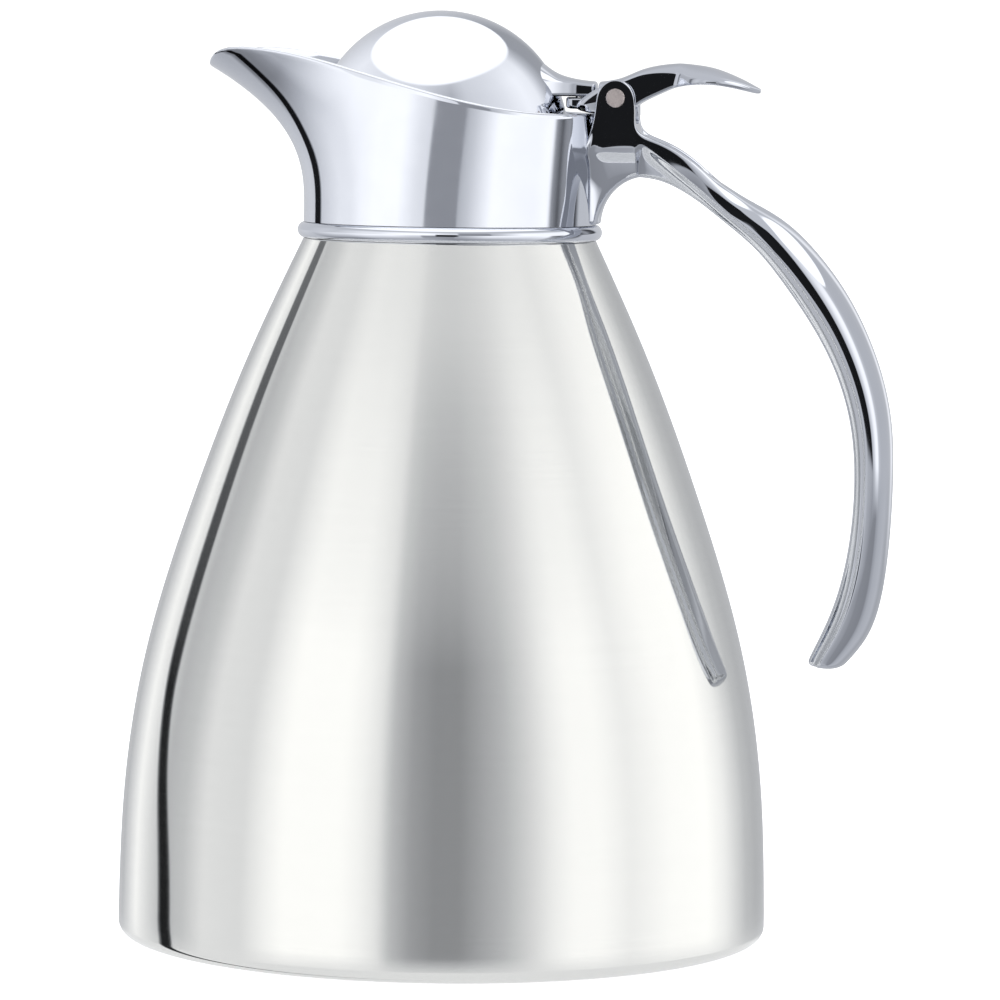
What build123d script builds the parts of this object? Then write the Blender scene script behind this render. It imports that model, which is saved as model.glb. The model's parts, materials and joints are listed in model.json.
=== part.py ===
"""Vacuum coffee pot: double-wall steel flask, cast head with spout, C handle and a lever-lifted lid.

Frame: millimetres, +Z up, origin at the centre of the base on the table, spout towards -X,
handle towards +X. The pot is symmetric about the plane Y = 0.
"""
from build123d import *
from math import cos, hypot, radians
import os

os.makedirs("parts", exist_ok=True)

# ---------------------------------------------------------------- driving dimensions
# Flask body: (radius, height) points up the outside of the bell-shaped wall
BODY_WALL = [(70.1, 6), (69.2, 30), (64.5, 62), (54.8, 94.5), (42.5, 127), (31.5, 151)]
SHELL_T = 0.7                # sheet thickness of the flask pressings
BASE_CORNER_R = 2.6          # rolled corner where the wall meets the base
HEM_W = 1.5                  # flat hem inside the rolled corner
BASE_GAP = 0.5               # steel stands this far above the table, on the foot pad
SHOULDER_Z = 151             # top of the visible flask wall
NECK_R = 27.8                # outside of the hidden neck
VACUUM_GAP = 8.7             # outer surface of the body to outer surface of the flask inside
FLASK_R = 61.2
FLASK_FLOOR_Z = 12
FLASK_WELD_Z = 18            # where the inner wall is welded to the inner bottom
MOUTH_R = 24.9               # outside radius of the inner neck
LIP_Z = 163.5                # top of the flask's mouth

# Head casting
HEAD_R = 31.5
HEAD_WALL = 1.3
HEAD_Z = 154.5               # lower edge, on the neck ring
SPOUT_START_Z = 158
SPOUT_TIP_Z = 187.9
SPOUT_PULL = 21.4            # how far the lip's tip stands out past the round wall
SPOUT_FLARE = 2.5            # exponent of the flare's side view
SPOUT_SHARPNESS = 7          # higher is a narrower spout in plan
RIM_LINE = [(-52.9, 187.8), (-50.3, 190.2), (-42, 191.6), (-30.6, 190.1), (4.5, 181.4),
            (22, 178.6), (34, 178.4)]

# Neck ring
RING_R = 32.8
RING_H = 3.4
RING_CORNER_R = 0.9

# Lid
DOME_X = -2.2
DOME_R = 27.5
DOME_TOP_Z = 200
DOME_WALL = 1.2
SKIRT_Z = 168.4
STOPPER_R = 21.8
STOPPER_Z = 162.8
SEAT_Z = 165.8               # sealing face of the pouring insert
BOSS_PCR = 14                # the three lid screws' pitch circle radius
BOSS_Z = 171.2               # lower end of the bosses, on the insert
TONGUE_Z = 182               # underside of the dome's tongue

# Hinge and thumb lever
PIN_X = 36
PIN_Z = 181.8
PIN_R = 2
PIN_PLAY = 0.05
KNUCKLE_R = 4
EAR_R = 4.1
EAR_OUT = 8.5                # half the width over both ears
EAR_IN = 5.5                 # half the gap between the ears
LEVER_HALF = 5               # half the width of the lever's neck
PAD_HALF = 9
LEVER_TIP_X = 66.9
TONGUE_X = 24.5
LEVER_SCREWS = [(28, 2.6), (28, -2.6)]

# Handle: for each station the inner and outer point of the side view and the full width
HANDLE_STATIONS = [
    ((39.5, 165.4), (40.8, 174.2), 16.8),
    ((44.0, 164.6), (46.0, 172.6), 16.0),
    ((50.0, 162.2), (53.0, 168.4), 14.4),
    ((58.2, 156.4), (61.8, 161.9), 12.4),
    ((66.0, 150.0), (71.6, 156.4), 17.5),
    ((72.4, 142.4), (80.4, 148.0), 20.0),
    ((81.4, 128.6), (90.0, 132.8), 20.4),
    ((87.0, 112.6), (95.6, 114.6), 20.4),
    ((88.0, 99.5), (96.4, 99.5), 20.2),
    ((86.9, 85.7), (95.4, 83.4), 19.8),
    ((83.4, 72.0), (92.2, 68.6), 19.0),
    ((79.2, 62.4), (86.2, 59.6), 16.6),
]
HANDLE_INNER = 0.55          # inner face's width as a share of the full width
SCOOP_Z = 171.5              # below this the root's sides scoop in
FOOT_Z = 163.5               # below this the root is a narrow foot
FOOT_HALF = 5.2
SLOT_Z = 176.3               # floor of the slot between the ears
CHANNEL_HALF = 4.2           # half the width of the channel behind the slot
FAR = 100                    # past everything, for cuts that go right through


def inset(points, distance):
    """Move the points of an upward wall line towards the axis, square to the wall."""
    moved = []
    for i, (r, z) in enumerate(points):
        r_before, z_before = points[max(i - 1, 0)]
        r_after, z_after = points[min(i + 1, len(points) - 1)]
        run = Vector(r_after - r_before, z_after - z_before).normalized()
        moved.append((r - distance * run.Y, z + distance * run.X))
    return moved


def save(block, label):
    """Label a finished piece and write its STEP file."""
    block.part.label = label
    export_step(block.part, f"parts/{label}.step")


# ---------------------------------------------------------------- flask
with BuildPart() as outer_shell:
    with BuildSketch(Plane.XZ):
        with BuildLine():
            outside = Spline(*BODY_WALL)
            inside = Spline(*inset(BODY_WALL, SHELL_T))
            Polyline(outside @ 1,
                     (NECK_R, SHOULDER_Z),
                     (NECK_R, LIP_Z - SHELL_T),
                     (NECK_R - SHELL_T, LIP_Z - SHELL_T),
                     (NECK_R - SHELL_T, SHOULDER_Z - SHELL_T),
                     inside @ 1)
            wall_r = BODY_WALL[0][0]
            corner_z = BASE_GAP + BASE_CORNER_R
            hem_r = wall_r - BASE_CORNER_R - HEM_W
            drop = Line(outside @ 0, (wall_r, corner_z))
            corner = TangentArc(drop @ 1, (wall_r - BASE_CORNER_R, BASE_GAP), tangent=(0, -1))
            Polyline(corner @ 1, (hem_r, BASE_GAP), (hem_r, BASE_GAP + SHELL_T),
                     (wall_r - BASE_CORNER_R, BASE_GAP + SHELL_T))
            rise = Line(inside @ 0, (wall_r - SHELL_T, corner_z))
            TangentArc(rise @ 1, (wall_r - BASE_CORNER_R, BASE_GAP + SHELL_T), tangent=(0, -1))
        make_face()
    revolve(axis=Axis.Z)
save(outer_shell, "outer_shell")

# Bottom of the vacuum space: a welded dish with a raised dimple for the seal
BOTTOM_Z = 5
DIMPLE_R = 8
DIMPLE_Z = 6.2
with BuildPart() as outer_bottom:
    with BuildSketch(Plane.XZ):
        rim_r = BODY_WALL[0][0] - SHELL_T - 0.1
        with BuildLine():
            Polyline((0, DIMPLE_Z), (DIMPLE_R, DIMPLE_Z), (DIMPLE_R, BOTTOM_Z), (rim_r, BOTTOM_Z),
                     (rim_r, BOTTOM_Z + 4), (rim_r - SHELL_T, BOTTOM_Z + 4),
                     (rim_r - SHELL_T, BOTTOM_Z + SHELL_T), (DIMPLE_R + SHELL_T, BOTTOM_Z + SHELL_T),
                     (DIMPLE_R + SHELL_T, DIMPLE_Z + SHELL_T), (0, DIMPLE_Z + SHELL_T), close=True)
        make_face()
    revolve(axis=Axis.Z)
save(outer_bottom, "outer_bottom")

with BuildPart() as vacuum_seal:
    with BuildSketch(Plane.XY.offset(BOTTOM_Z + 0.1)):
        Circle(5.5)
    extrude(amount=1)
    fillet(vacuum_seal.edges().group_by(Axis.Z)[0], 0.4)
save(vacuum_seal, "vacuum_seal")

COVER_R = 65.8
PAD_R = 57
PAD_SEAT_Z = 1.7
with BuildPart() as base_cover:
    with BuildSketch(Plane.XZ):
        with BuildLine():
            Polyline((0, PAD_SEAT_Z), (PAD_R, PAD_SEAT_Z), (PAD_R, BASE_GAP), (COVER_R, BASE_GAP),
                     (COVER_R, 4.6), (COVER_R - SHELL_T, 4.6), (COVER_R - SHELL_T, BASE_GAP + SHELL_T),
                     (PAD_R + SHELL_T, BASE_GAP + SHELL_T), (PAD_R + SHELL_T, PAD_SEAT_Z + SHELL_T),
                     (0, PAD_SEAT_Z + SHELL_T), close=True)
        make_face()
    revolve(axis=Axis.Z)
save(base_cover, "base_cover")

with BuildPart() as foot_pad:
    with BuildSketch():
        Circle(PAD_R - 0.2)
    extrude(amount=PAD_SEAT_Z)
    chamfer(foot_pad.edges().group_by(Axis.Z)[0], 0.4)
save(foot_pad, "foot_pad")

# Inside of the flask, 8 mm of vacuum away from the outer shell
FLASK_WALL = ([(FLASK_R, FLASK_WELD_Z)] + inset(BODY_WALL, VACUUM_GAP)[1:-1]
              + [(MOUTH_R, SHOULDER_Z - 4)])
with BuildPart() as inner_wall:
    with BuildSketch(Plane.XZ):
        with BuildLine():
            outside = Spline(*FLASK_WALL)
            inside = Spline(*inset(FLASK_WALL, SHELL_T))
            Line(outside @ 0, inside @ 0)
            Polyline(outside @ 1,
                     (MOUTH_R, LIP_Z - SHELL_T),
                     (NECK_R, LIP_Z - SHELL_T),
                     (NECK_R, LIP_Z),
                     (MOUTH_R - SHELL_T, LIP_Z),
                     inside @ 1)
        make_face()
    revolve(axis=Axis.Z)
save(inner_wall, "inner_wall")

with BuildPart() as inner_bottom:
    with BuildSketch(Plane.XZ):
        bend = 4
        with BuildLine():
            Polyline((0, FLASK_FLOOR_Z + SHELL_T), (0, FLASK_FLOOR_Z), (FLASK_R - bend, FLASK_FLOOR_Z))
            TangentArc((FLASK_R - bend, FLASK_FLOOR_Z), (FLASK_R, FLASK_FLOOR_Z + bend), tangent=(1, 0))
            Polyline((FLASK_R, FLASK_FLOOR_Z + bend), (FLASK_R, FLASK_WELD_Z - 0.1),
                     (FLASK_R - SHELL_T, FLASK_WELD_Z - 0.1), (FLASK_R - SHELL_T, FLASK_FLOOR_Z + bend))
            TangentArc((FLASK_R - SHELL_T, FLASK_FLOOR_Z + bend),
                       (FLASK_R - bend, FLASK_FLOOR_Z + SHELL_T), tangent=(0, -1))
            Line((FLASK_R - bend, FLASK_FLOOR_Z + SHELL_T), (0, FLASK_FLOOR_Z + SHELL_T))
        make_face()
    revolve(axis=Axis.Z)
save(inner_bottom, "inner_bottom")

with BuildPart() as getter:
    with BuildSketch(Plane.XY.offset(FLASK_FLOOR_Z - 1.7)):
        with Locations((22, 0)):
            Circle(6)
    extrude(amount=1.6)
    chamfer(getter.edges().group_by(Axis.Z)[0], 0.4)
save(getter, "getter")

# ---------------------------------------------------------------- neck and head
with BuildPart() as neck_ring:
    with BuildSketch(Plane.XZ):
        ring_in = HEAD_R - HEAD_WALL + 0.4
        with Locations(((ring_in + RING_R) / 2, SHOULDER_Z + 0.05 + RING_H / 2)):
            RectangleRounded(RING_R - ring_in, RING_H, RING_CORNER_R)
    revolve(axis=Axis.Z)
save(neck_ring, "neck_ring")

COLLAR_TOP_Z = 160.5
with BuildPart() as thread_ring:
    with BuildSketch(Plane.XY.offset(SHOULDER_Z + 0.2)):
        Circle(HEAD_R - HEAD_WALL - 0.1)
        Circle(NECK_R + 0.1, mode=Mode.SUBTRACT)
    extrude(amount=COLLAR_TOP_Z - SHOULDER_Z - 0.2)
save(thread_ring, "thread_ring")

GASKET_H = 1.3
with BuildPart() as neck_gasket:
    with BuildSketch(Plane.XY.offset(LIP_Z)):
        Circle(NECK_R)
        Circle(MOUTH_R - 0.4, mode=Mode.SUBTRACT)
    extrude(amount=GASKET_H)
save(neck_gasket, "neck_gasket")

with BuildPart() as pouring_insert:
    with BuildSketch(Plane.XY.offset(LIP_Z + GASKET_H)):
        Circle(HEAD_R - HEAD_WALL - 0.1)
        Circle(MOUTH_R - 0.6, mode=Mode.SUBTRACT)
    extrude(amount=SEAT_Z - LIP_Z - GASKET_H)
    with BuildSketch(Plane.XY.offset(LIP_Z - 2.4)):
        Circle(HEAD_R - HEAD_WALL - 0.1)
        Circle(NECK_R + 0.3, mode=Mode.SUBTRACT)
    extrude(amount=SEAT_Z - LIP_Z + 2.4)
save(pouring_insert, "pouring_insert")


def spout_reach(z):
    """How far the wall stands out on the spout side at this height."""
    rise = max(z - SPOUT_START_Z, 0) / (SPOUT_TIP_Z - SPOUT_START_Z)
    return HEAD_R + SPOUT_PULL * rise ** SPOUT_FLARE


def head_outline(z, wall):
    """Points round the head at one height, inside a wall of this thickness."""
    slope = spout_reach(z + 0.5) - spout_reach(z - 0.5)
    reach = spout_reach(z) - wall * hypot(1, slope)
    radius = HEAD_R - wall
    points = []
    for angle in range(0, 360, 15):
        pull = max(-cos(radians(angle)), 0) ** SPOUT_SHARPNESS
        points.append(Vector(radius + (reach - radius) * pull, 0).rotate(Axis.Z, angle))
    return points


# Two screws hold the handle's root from inside the head
SCREW_Z = 170.2
SCREW_Y = 4.6
SCREW_SEAT_X = 29.7
SCREW_R = 2
SCREW_HEAD_R = 3
SPOUT_LEVELS = [160, 166, 172, 177, 181, 185, 189, 193]
with BuildPart() as spout_head:
    for level in [HEAD_Z] + SPOUT_LEVELS:
        with BuildSketch(Plane.XY.offset(level)):
            with BuildLine():
                Spline(*head_outline(level, 0), periodic=True)
            make_face()
    loft()
    for level in [HEAD_Z - 1] + SPOUT_LEVELS[:-1] + [SPOUT_LEVELS[-1] + 1]:
        with BuildSketch(Plane.XY.offset(level)):
            with BuildLine():
                Spline(*head_outline(level, HEAD_WALL), periodic=True)
            make_face()
    loft(mode=Mode.SUBTRACT)
    # The rim: everything above the side view's rim line is cut away
    with BuildSketch(Plane.XZ):
        with BuildLine():
            rim = Spline(*RIM_LINE)
            Polyline(rim @ 1, (80, RIM_LINE[-1][1]), (80, 210), (-80, 210),
                     (-80, RIM_LINE[0][1] - 1), (RIM_LINE[0][0], RIM_LINE[0][1] - 1), rim @ 0)
        make_face()
    extrude(amount=FAR, both=True, mode=Mode.SUBTRACT)
    # Clearance holes and spot faces for the two handle screws in the back wall
    with BuildSketch(Plane.YZ):
        with Locations((SCREW_Y, SCREW_Z), (-SCREW_Y, SCREW_Z)):
            Circle(SCREW_R + 0.1)
    extrude(amount=FAR, mode=Mode.SUBTRACT)
    with BuildSketch(Plane.YZ):
        with Locations((SCREW_Y, SCREW_Z), (-SCREW_Y, SCREW_Z)):
            Circle(SCREW_HEAD_R + 0.2)
    extrude(amount=SCREW_SEAT_X, mode=Mode.SUBTRACT)
save(spout_head, "spout_head")

# ---------------------------------------------------------------- handle
with BuildPart() as handle:
    # Root block and ears, from the side
    with BuildSketch(Plane.XZ):
        with BuildLine():
            Line((PIN_X - EAR_R, PIN_Z), (31.2, 175.5))
            Polyline((31.2, 175.5), (29, 170.5), (29, HEAD_Z + 0.1), (32.4, HEAD_Z + 0.1))
            under = TangentArc((32.4, HEAD_Z + 0.1), (41, 164.9), tangent=(0, 1))
            Polyline(under @ 1, (42.3, 165.2), (42.3, 173), (41.2, 174.2), (PIN_X + EAR_R, 176.5),
                     (PIN_X + EAR_R, PIN_Z))
            TangentArc((PIN_X + EAR_R, PIN_Z), (PIN_X, PIN_Z + EAR_R), tangent=(0, 1))
            TangentArc((PIN_X, PIN_Z + EAR_R), (PIN_X - EAR_R, PIN_Z), tangent=(-1, 0))
        make_face()
    extrude(amount=EAR_OUT, both=True)
    # Below the ears the sides scoop in to a narrow foot
    with BuildSketch(Plane.YZ):
        with BuildLine():
            Line((EAR_OUT, 190), (EAR_OUT, SCOOP_Z))
            TangentArc((FOOT_HALF, FOOT_Z), (EAR_OUT, SCOOP_Z), tangent=(0, 1))
            Polyline((FOOT_HALF, FOOT_Z), (FOOT_HALF, 150), (-FOOT_HALF, 150), (-FOOT_HALF, FOOT_Z))
            TangentArc((-FOOT_HALF, FOOT_Z), (-EAR_OUT, SCOOP_Z), tangent=(0, 1))
            Polyline((-EAR_OUT, SCOOP_Z), (-EAR_OUT, 190), (EAR_OUT, 190))
        make_face()
    extrude(amount=FAR, mode=Mode.INTERSECT)
    # The C-shaped grip, lofted through its stations
    for inner, outer, width in HANDLE_STATIONS:
        start = Vector(inner[0], 0, inner[1])
        across = Vector(outer[0], 0, outer[1]) - start
        thick = across.length
        middle = start + across * 0.5
        station = Plane(origin=middle, x_dir=(0, 1, 0), z_dir=(across.Z, 0, -across.X))
        with BuildSketch(station):
            with BuildLine():
                ThreePointArc((-width / 2, 0.12 * thick), (0, thick / 2), (width / 2, 0.12 * thick))
                Polyline((width / 2, 0.12 * thick), (width * HANDLE_INNER / 2, -thick / 2),
                         (-width * HANDLE_INNER / 2, -thick / 2), (-width / 2, 0.12 * thick))
            make_face()
    loft()
    # Slot for the lever's knuckle, and the channel behind it
    with BuildSketch(Plane.XZ):
        with BuildLine():
            slot_x = PIN_X + EAR_R + 0.4
            Polyline((26, SLOT_Z), (slot_x, SLOT_Z), (slot_x, 200), (26, 200), close=True)
        make_face()
    extrude(amount=EAR_IN, both=True, mode=Mode.SUBTRACT)
    with BuildSketch(Plane.XZ):
        with BuildLine():
            Polyline((39, SLOT_Z), (41.5, 171.6), (52, 166.6), (56, 170), (56, 178), (39, 178), close=True)
        make_face()
    extrude(amount=CHANNEL_HALF, both=True, mode=Mode.SUBTRACT)
    # The root sits against the round head
    with BuildSketch(Plane.XY.offset(SHOULDER_Z)):
        Circle(HEAD_R + 0.02)
    extrude(amount=FAR, mode=Mode.SUBTRACT)
    # Bore for the pin, tapped holes for the screws
    with BuildSketch(Plane.XZ):
        with Locations((PIN_X, PIN_Z)):
            Circle(PIN_R)
    extrude(amount=EAR_OUT + 1, both=True, mode=Mode.SUBTRACT)
    with BuildSketch(Plane.YZ.offset(28)):
        with Locations((SCREW_Y, SCREW_Z), (-SCREW_Y, SCREW_Z)):
            Circle(SCREW_R + 0.02)
    extrude(amount=11, mode=Mode.SUBTRACT)
save(handle, "handle")

HEAD_T = 1.6
with BuildPart() as handle_screws:
    with BuildSketch(Plane.YZ.offset(SCREW_SEAT_X - HEAD_T)):
        with Locations((SCREW_Y, SCREW_Z), (-SCREW_Y, SCREW_Z)):
            Circle(SCREW_HEAD_R)
    extrude(amount=HEAD_T)
    with BuildSketch(Plane.YZ.offset(SCREW_SEAT_X)):
        with Locations((SCREW_Y, SCREW_Z), (-SCREW_Y, SCREW_Z)):
            Circle(SCREW_R)
    extrude(amount=9)
    with BuildSketch(Plane.YZ.offset(SCREW_SEAT_X - HEAD_T)):
        with Locations((SCREW_Y, SCREW_Z), (-SCREW_Y, SCREW_Z)):
            RegularPolygon(1.25, 6)
    extrude(amount=1, mode=Mode.SUBTRACT)
save(handle_screws, "handle_screws")

# ---------------------------------------------------------------- hinge
with BuildPart() as hinge_pin:
    with BuildSketch(Plane.XZ):
        with Locations((PIN_X, PIN_Z)):
            Circle(PIN_R)
    extrude(amount=EAR_OUT + 0.15, both=True)
    chamfer(hinge_pin.edges().group_by(Axis.Y)[0], 0.15)
    chamfer(hinge_pin.edges().group_by(Axis.Y)[-1], 0.15)
save(hinge_pin, "hinge_pin")

WASHER_T = 0.3
with BuildPart() as hinge_washers:
    for side in (-1, 1):
        with BuildSketch(Plane.XZ.offset(side * (LEVER_HALF + EAR_IN) / 2 - WASHER_T / 2)):
            with Locations((PIN_X, PIN_Z)):
                Circle(3.5)
                Circle(PIN_R + 0.1, mode=Mode.SUBTRACT)
        extrude(amount=WASHER_T)
save(hinge_washers, "hinge_washers")

SPRING_R = 2.8
WIRE_R = 0.35
SPRING_HALF = 1.6            # half the coil's length along the pin
SPRING_TURNS = 4
with BuildPart() as hinge_spring:
    with BuildLine() as coil_line:
        coil = Helix(2 * SPRING_HALF / SPRING_TURNS, 2 * SPRING_HALF, SPRING_R,
                     center=(PIN_X, -SPRING_HALF, PIN_Z), direction=(0, 1, 0))
    with BuildSketch(Plane(origin=coil @ 0, z_dir=coil % 0)):
        Circle(WIRE_R)
    sweep()
save(hinge_spring, "hinge_spring")

# ---------------------------------------------------------------- lid and thumb lever
DOME_Z = DOME_TOP_Z - DOME_R
LID_AXIS = Plane(origin=(DOME_X, 0, 0), x_dir=(1, 0, 0), z_dir=(0, -1, 0))
with BuildPart() as lid_dome:
    with BuildSketch(LID_AXIS):
        with BuildLine():
            cap = CenterArc((0, DOME_Z), DOME_R, 0, 90)
            Polyline(cap @ 1, (0, SKIRT_Z), (DOME_R, SKIRT_Z), cap @ 0)
        make_face()
    revolve(axis=Axis((DOME_X, 0, 0), (0, 0, 1)))
    # Tongue towards the hinge, its top flowing off the dome
    with BuildSketch(Plane.XZ):
        with BuildLine():
            flow = Spline((17.5, 191.4), (22.6, 186.9), (31.7, 185.3), tangents=[(0.75, -0.66), (1, 0)])
            Polyline(flow @ 1, (31.7, TONGUE_Z), (10, TONGUE_Z), (10, 191.4), flow @ 0)
        make_face()
    extrude(amount=LEVER_HALF, both=True)
    with BuildSketch(LID_AXIS):
        with BuildLine():
            hollow = CenterArc((0, DOME_Z), DOME_R - DOME_WALL, 0, 90)
            Polyline(hollow @ 1, (0, SKIRT_Z - 1), (DOME_R - DOME_WALL, SKIRT_Z - 1), hollow @ 0)
        make_face()
    revolve(axis=Axis((DOME_X, 0, 0), (0, 0, 1)), mode=Mode.SUBTRACT)
    # Three screw bosses under the dome
    with BuildSketch(Plane(origin=(DOME_X, 0, BOSS_Z))):
        with PolarLocations(BOSS_PCR, 3):
            Circle(2.8)
    extrude(amount=23)
    with BuildSketch(Plane(origin=(DOME_X, 0, BOSS_Z))):
        with PolarLocations(BOSS_PCR, 3):
            Circle(1.25)
    extrude(amount=9, mode=Mode.SUBTRACT)
    # Pilot holes for the two lever screws in the tongue
    with BuildSketch(Plane.XY.offset(TONGUE_Z)):
        with Locations(*LEVER_SCREWS):
            Circle(1.02)
    extrude(amount=2.4, mode=Mode.SUBTRACT)
save(lid_dome, "lid_dome")

with BuildPart() as thumb_lever:
    with BuildSketch(Plane.XZ):
        with BuildLine():
            top = Spline((PIN_X - 3.6, 185.3), (41.5, 188.2), (50, 189.4), (58, 188.1), (66.2, 184.3),
                         tangents=[(1, 0.1), (1, -0.55)])
            nose = TangentArc(top @ 1, (66, 182.9), tangent=top % 1)
            below = Spline(nose @ 1, (59, 184.6), (52, 184.7), (44, 182.2), (PIN_X + 3, 179.2),
                           tangents=[(-1, 0.25), (-1, -0.6)])
            belly = TangentArc(below @ 1, (PIN_X, PIN_Z - KNUCKLE_R), tangent=below % 1)
            Polyline(belly @ 1, (33.8, 178.4), (32.4, 179.3), (TONGUE_X, 179.3),
                     (TONGUE_X, TONGUE_Z), (PIN_X - 4.1, TONGUE_Z), top @ 0)
        make_face()
    extrude(amount=PAD_HALF, both=True)
    # Plan view: narrow between the ears, leaf-shaped under the thumb
    with BuildSketch(Plane.XY.offset(170)):
        with BuildLine():
            side = Spline((46, LEVER_HALF), (56, PAD_HALF), (LEVER_TIP_X, 0),
                          tangents=[(1, 0.1), (0, -1)])
            mirror(side, about=Plane.XZ)
            Polyline(side @ 0, (20, LEVER_HALF), (20, -LEVER_HALF), (46, -LEVER_HALF))
        make_face()
    extrude(amount=40, mode=Mode.INTERSECT)
    # Room for the spring in the knuckle, open below
    with BuildSketch(Plane.XZ):
        with Locations((PIN_X, PIN_Z)):
            Circle(SPRING_R + 0.75)
        with Locations((PIN_X, PIN_Z - 4)):
            Rectangle(7.1, 8)
    extrude(amount=SPRING_HALF + 0.6, both=True, mode=Mode.SUBTRACT)
    with BuildSketch(Plane.XZ):
        with Locations((PIN_X, PIN_Z)):
            Circle(PIN_R + PIN_PLAY)
    extrude(amount=PAD_HALF, both=True, mode=Mode.SUBTRACT)
    with BuildSketch(Plane.XY.offset(179)):
        with Locations(*LEVER_SCREWS):
            Circle(1.1)
    extrude(amount=4, mode=Mode.SUBTRACT)
    with BuildSketch(Plane.XY.offset(179)):
        with Locations(*LEVER_SCREWS):
            Circle(2)
    extrude(amount=1.5, mode=Mode.SUBTRACT)
save(thumb_lever, "thumb_lever")

with BuildPart() as lever_screws:
    with BuildSketch(Plane.XY.offset(179.4)):
        with Locations(*LEVER_SCREWS):
            Circle(1.9)
    extrude(amount=1.1)
    with BuildSketch(Plane.XY.offset(180.5)):
        with Locations(*LEVER_SCREWS):
            Circle(1)
    extrude(amount=3.6)
save(lever_screws, "lever_screws")

PLATE_Z = 167.3
with BuildPart() as lid_insert:
    with BuildSketch(Plane(origin=(DOME_X, 0, PLATE_Z))):
        Circle(DOME_R - 0.2)
    extrude(amount=SKIRT_Z - PLATE_Z)
    with BuildSketch(Plane(origin=(DOME_X, 0, SKIRT_Z))):
        Circle(DOME_R - DOME_WALL - 0.2)
    extrude(amount=171 - SKIRT_Z)
    with BuildSketch(Plane.XY.offset(STOPPER_Z)):
        Circle(STOPPER_R)
    extrude(amount=PLATE_Z - STOPPER_Z)
    chamfer(lid_insert.edges().group_by(Axis.Z)[0], 1)
    with BuildSketch(Plane(origin=(DOME_X, 0, STOPPER_Z))):
        with PolarLocations(BOSS_PCR, 3):
            Circle(1.4)
    extrude(amount=12, mode=Mode.SUBTRACT)
    with BuildSketch(Plane(origin=(DOME_X, 0, STOPPER_Z))):
        with PolarLocations(BOSS_PCR, 3):
            Circle(2.7)
    extrude(amount=5.4, mode=Mode.SUBTRACT)
save(lid_insert, "lid_insert")

with BuildPart() as insert_screws:
    with BuildSketch(Plane(origin=(DOME_X, 0, STOPPER_Z + 3.8))):
        with PolarLocations(BOSS_PCR, 3):
            Circle(2.4)
    extrude(amount=1.6)
    with BuildSketch(Plane(origin=(DOME_X, 0, STOPPER_Z + 5.4))):
        with PolarLocations(BOSS_PCR, 3):
            Circle(1.2)
    extrude(amount=11)
save(insert_screws, "insert_screws")

with BuildPart() as lid_gasket:
    with BuildSketch(Plane.XY.offset(SEAT_Z + 0.3)):
        Circle(MOUTH_R + 0.9)
        Circle(STOPPER_R + 0.1, mode=Mode.SUBTRACT)
    extrude(amount=PLATE_Z - SEAT_Z - 0.3)
save(lid_gasket, "lid_gasket")

with BuildPart() as lid_insulation:
    with BuildSketch(LID_AXIS):
        with BuildLine():
            foam = CenterArc((0, DOME_Z), DOME_R - DOME_WALL - 0.5, 0, 90)
            Polyline(foam @ 1, (0, 171.3), (DOME_R - DOME_WALL - 0.5, 171.3), foam @ 0)
        make_face()
    revolve(axis=Axis((DOME_X, 0, 0), (0, 0, 1)))
    with BuildSketch(Plane(origin=(DOME_X, 0, 171))):
        with PolarLocations(BOSS_PCR, 3):
            Circle(3.1)
    extrude(amount=30, mode=Mode.SUBTRACT)
save(lid_insulation, "lid_insulation")
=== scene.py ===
import json
from math import cos, hypot, pi, radians, sin, sqrt

import bmesh
import bpy
import numpy as np
from mathutils import Matrix, Vector


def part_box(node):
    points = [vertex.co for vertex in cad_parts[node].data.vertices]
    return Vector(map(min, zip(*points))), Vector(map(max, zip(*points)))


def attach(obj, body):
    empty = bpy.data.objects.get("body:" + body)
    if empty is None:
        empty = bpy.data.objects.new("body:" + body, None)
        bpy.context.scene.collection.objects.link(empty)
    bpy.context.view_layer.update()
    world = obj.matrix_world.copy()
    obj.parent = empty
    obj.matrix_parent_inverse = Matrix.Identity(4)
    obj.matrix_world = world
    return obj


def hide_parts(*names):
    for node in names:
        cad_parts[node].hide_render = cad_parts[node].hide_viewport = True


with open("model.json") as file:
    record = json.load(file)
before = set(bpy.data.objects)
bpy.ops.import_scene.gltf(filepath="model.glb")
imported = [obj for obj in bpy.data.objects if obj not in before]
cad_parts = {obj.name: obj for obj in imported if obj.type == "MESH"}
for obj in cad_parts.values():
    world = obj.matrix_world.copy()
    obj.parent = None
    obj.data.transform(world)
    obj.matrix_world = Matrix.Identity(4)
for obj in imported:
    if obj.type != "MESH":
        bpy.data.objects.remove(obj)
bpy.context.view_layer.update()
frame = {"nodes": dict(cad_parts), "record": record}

MM = 0.001

# ---------------------------------------------------------------- camera
CAMERA_TURN = radians(6.5)       # round from a square side view, towards the handle
CAMERA_BACK = 1178.7             # from the pot's axis
CAMERA_UP = 192.05               # above the table
LENS = 196.9                     # focal length
PITCH = 0.0824                   # radians, downwards
YAW = 0.0098                     # radians, towards the handle
ROLL = 0.0131                    # radians


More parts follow.
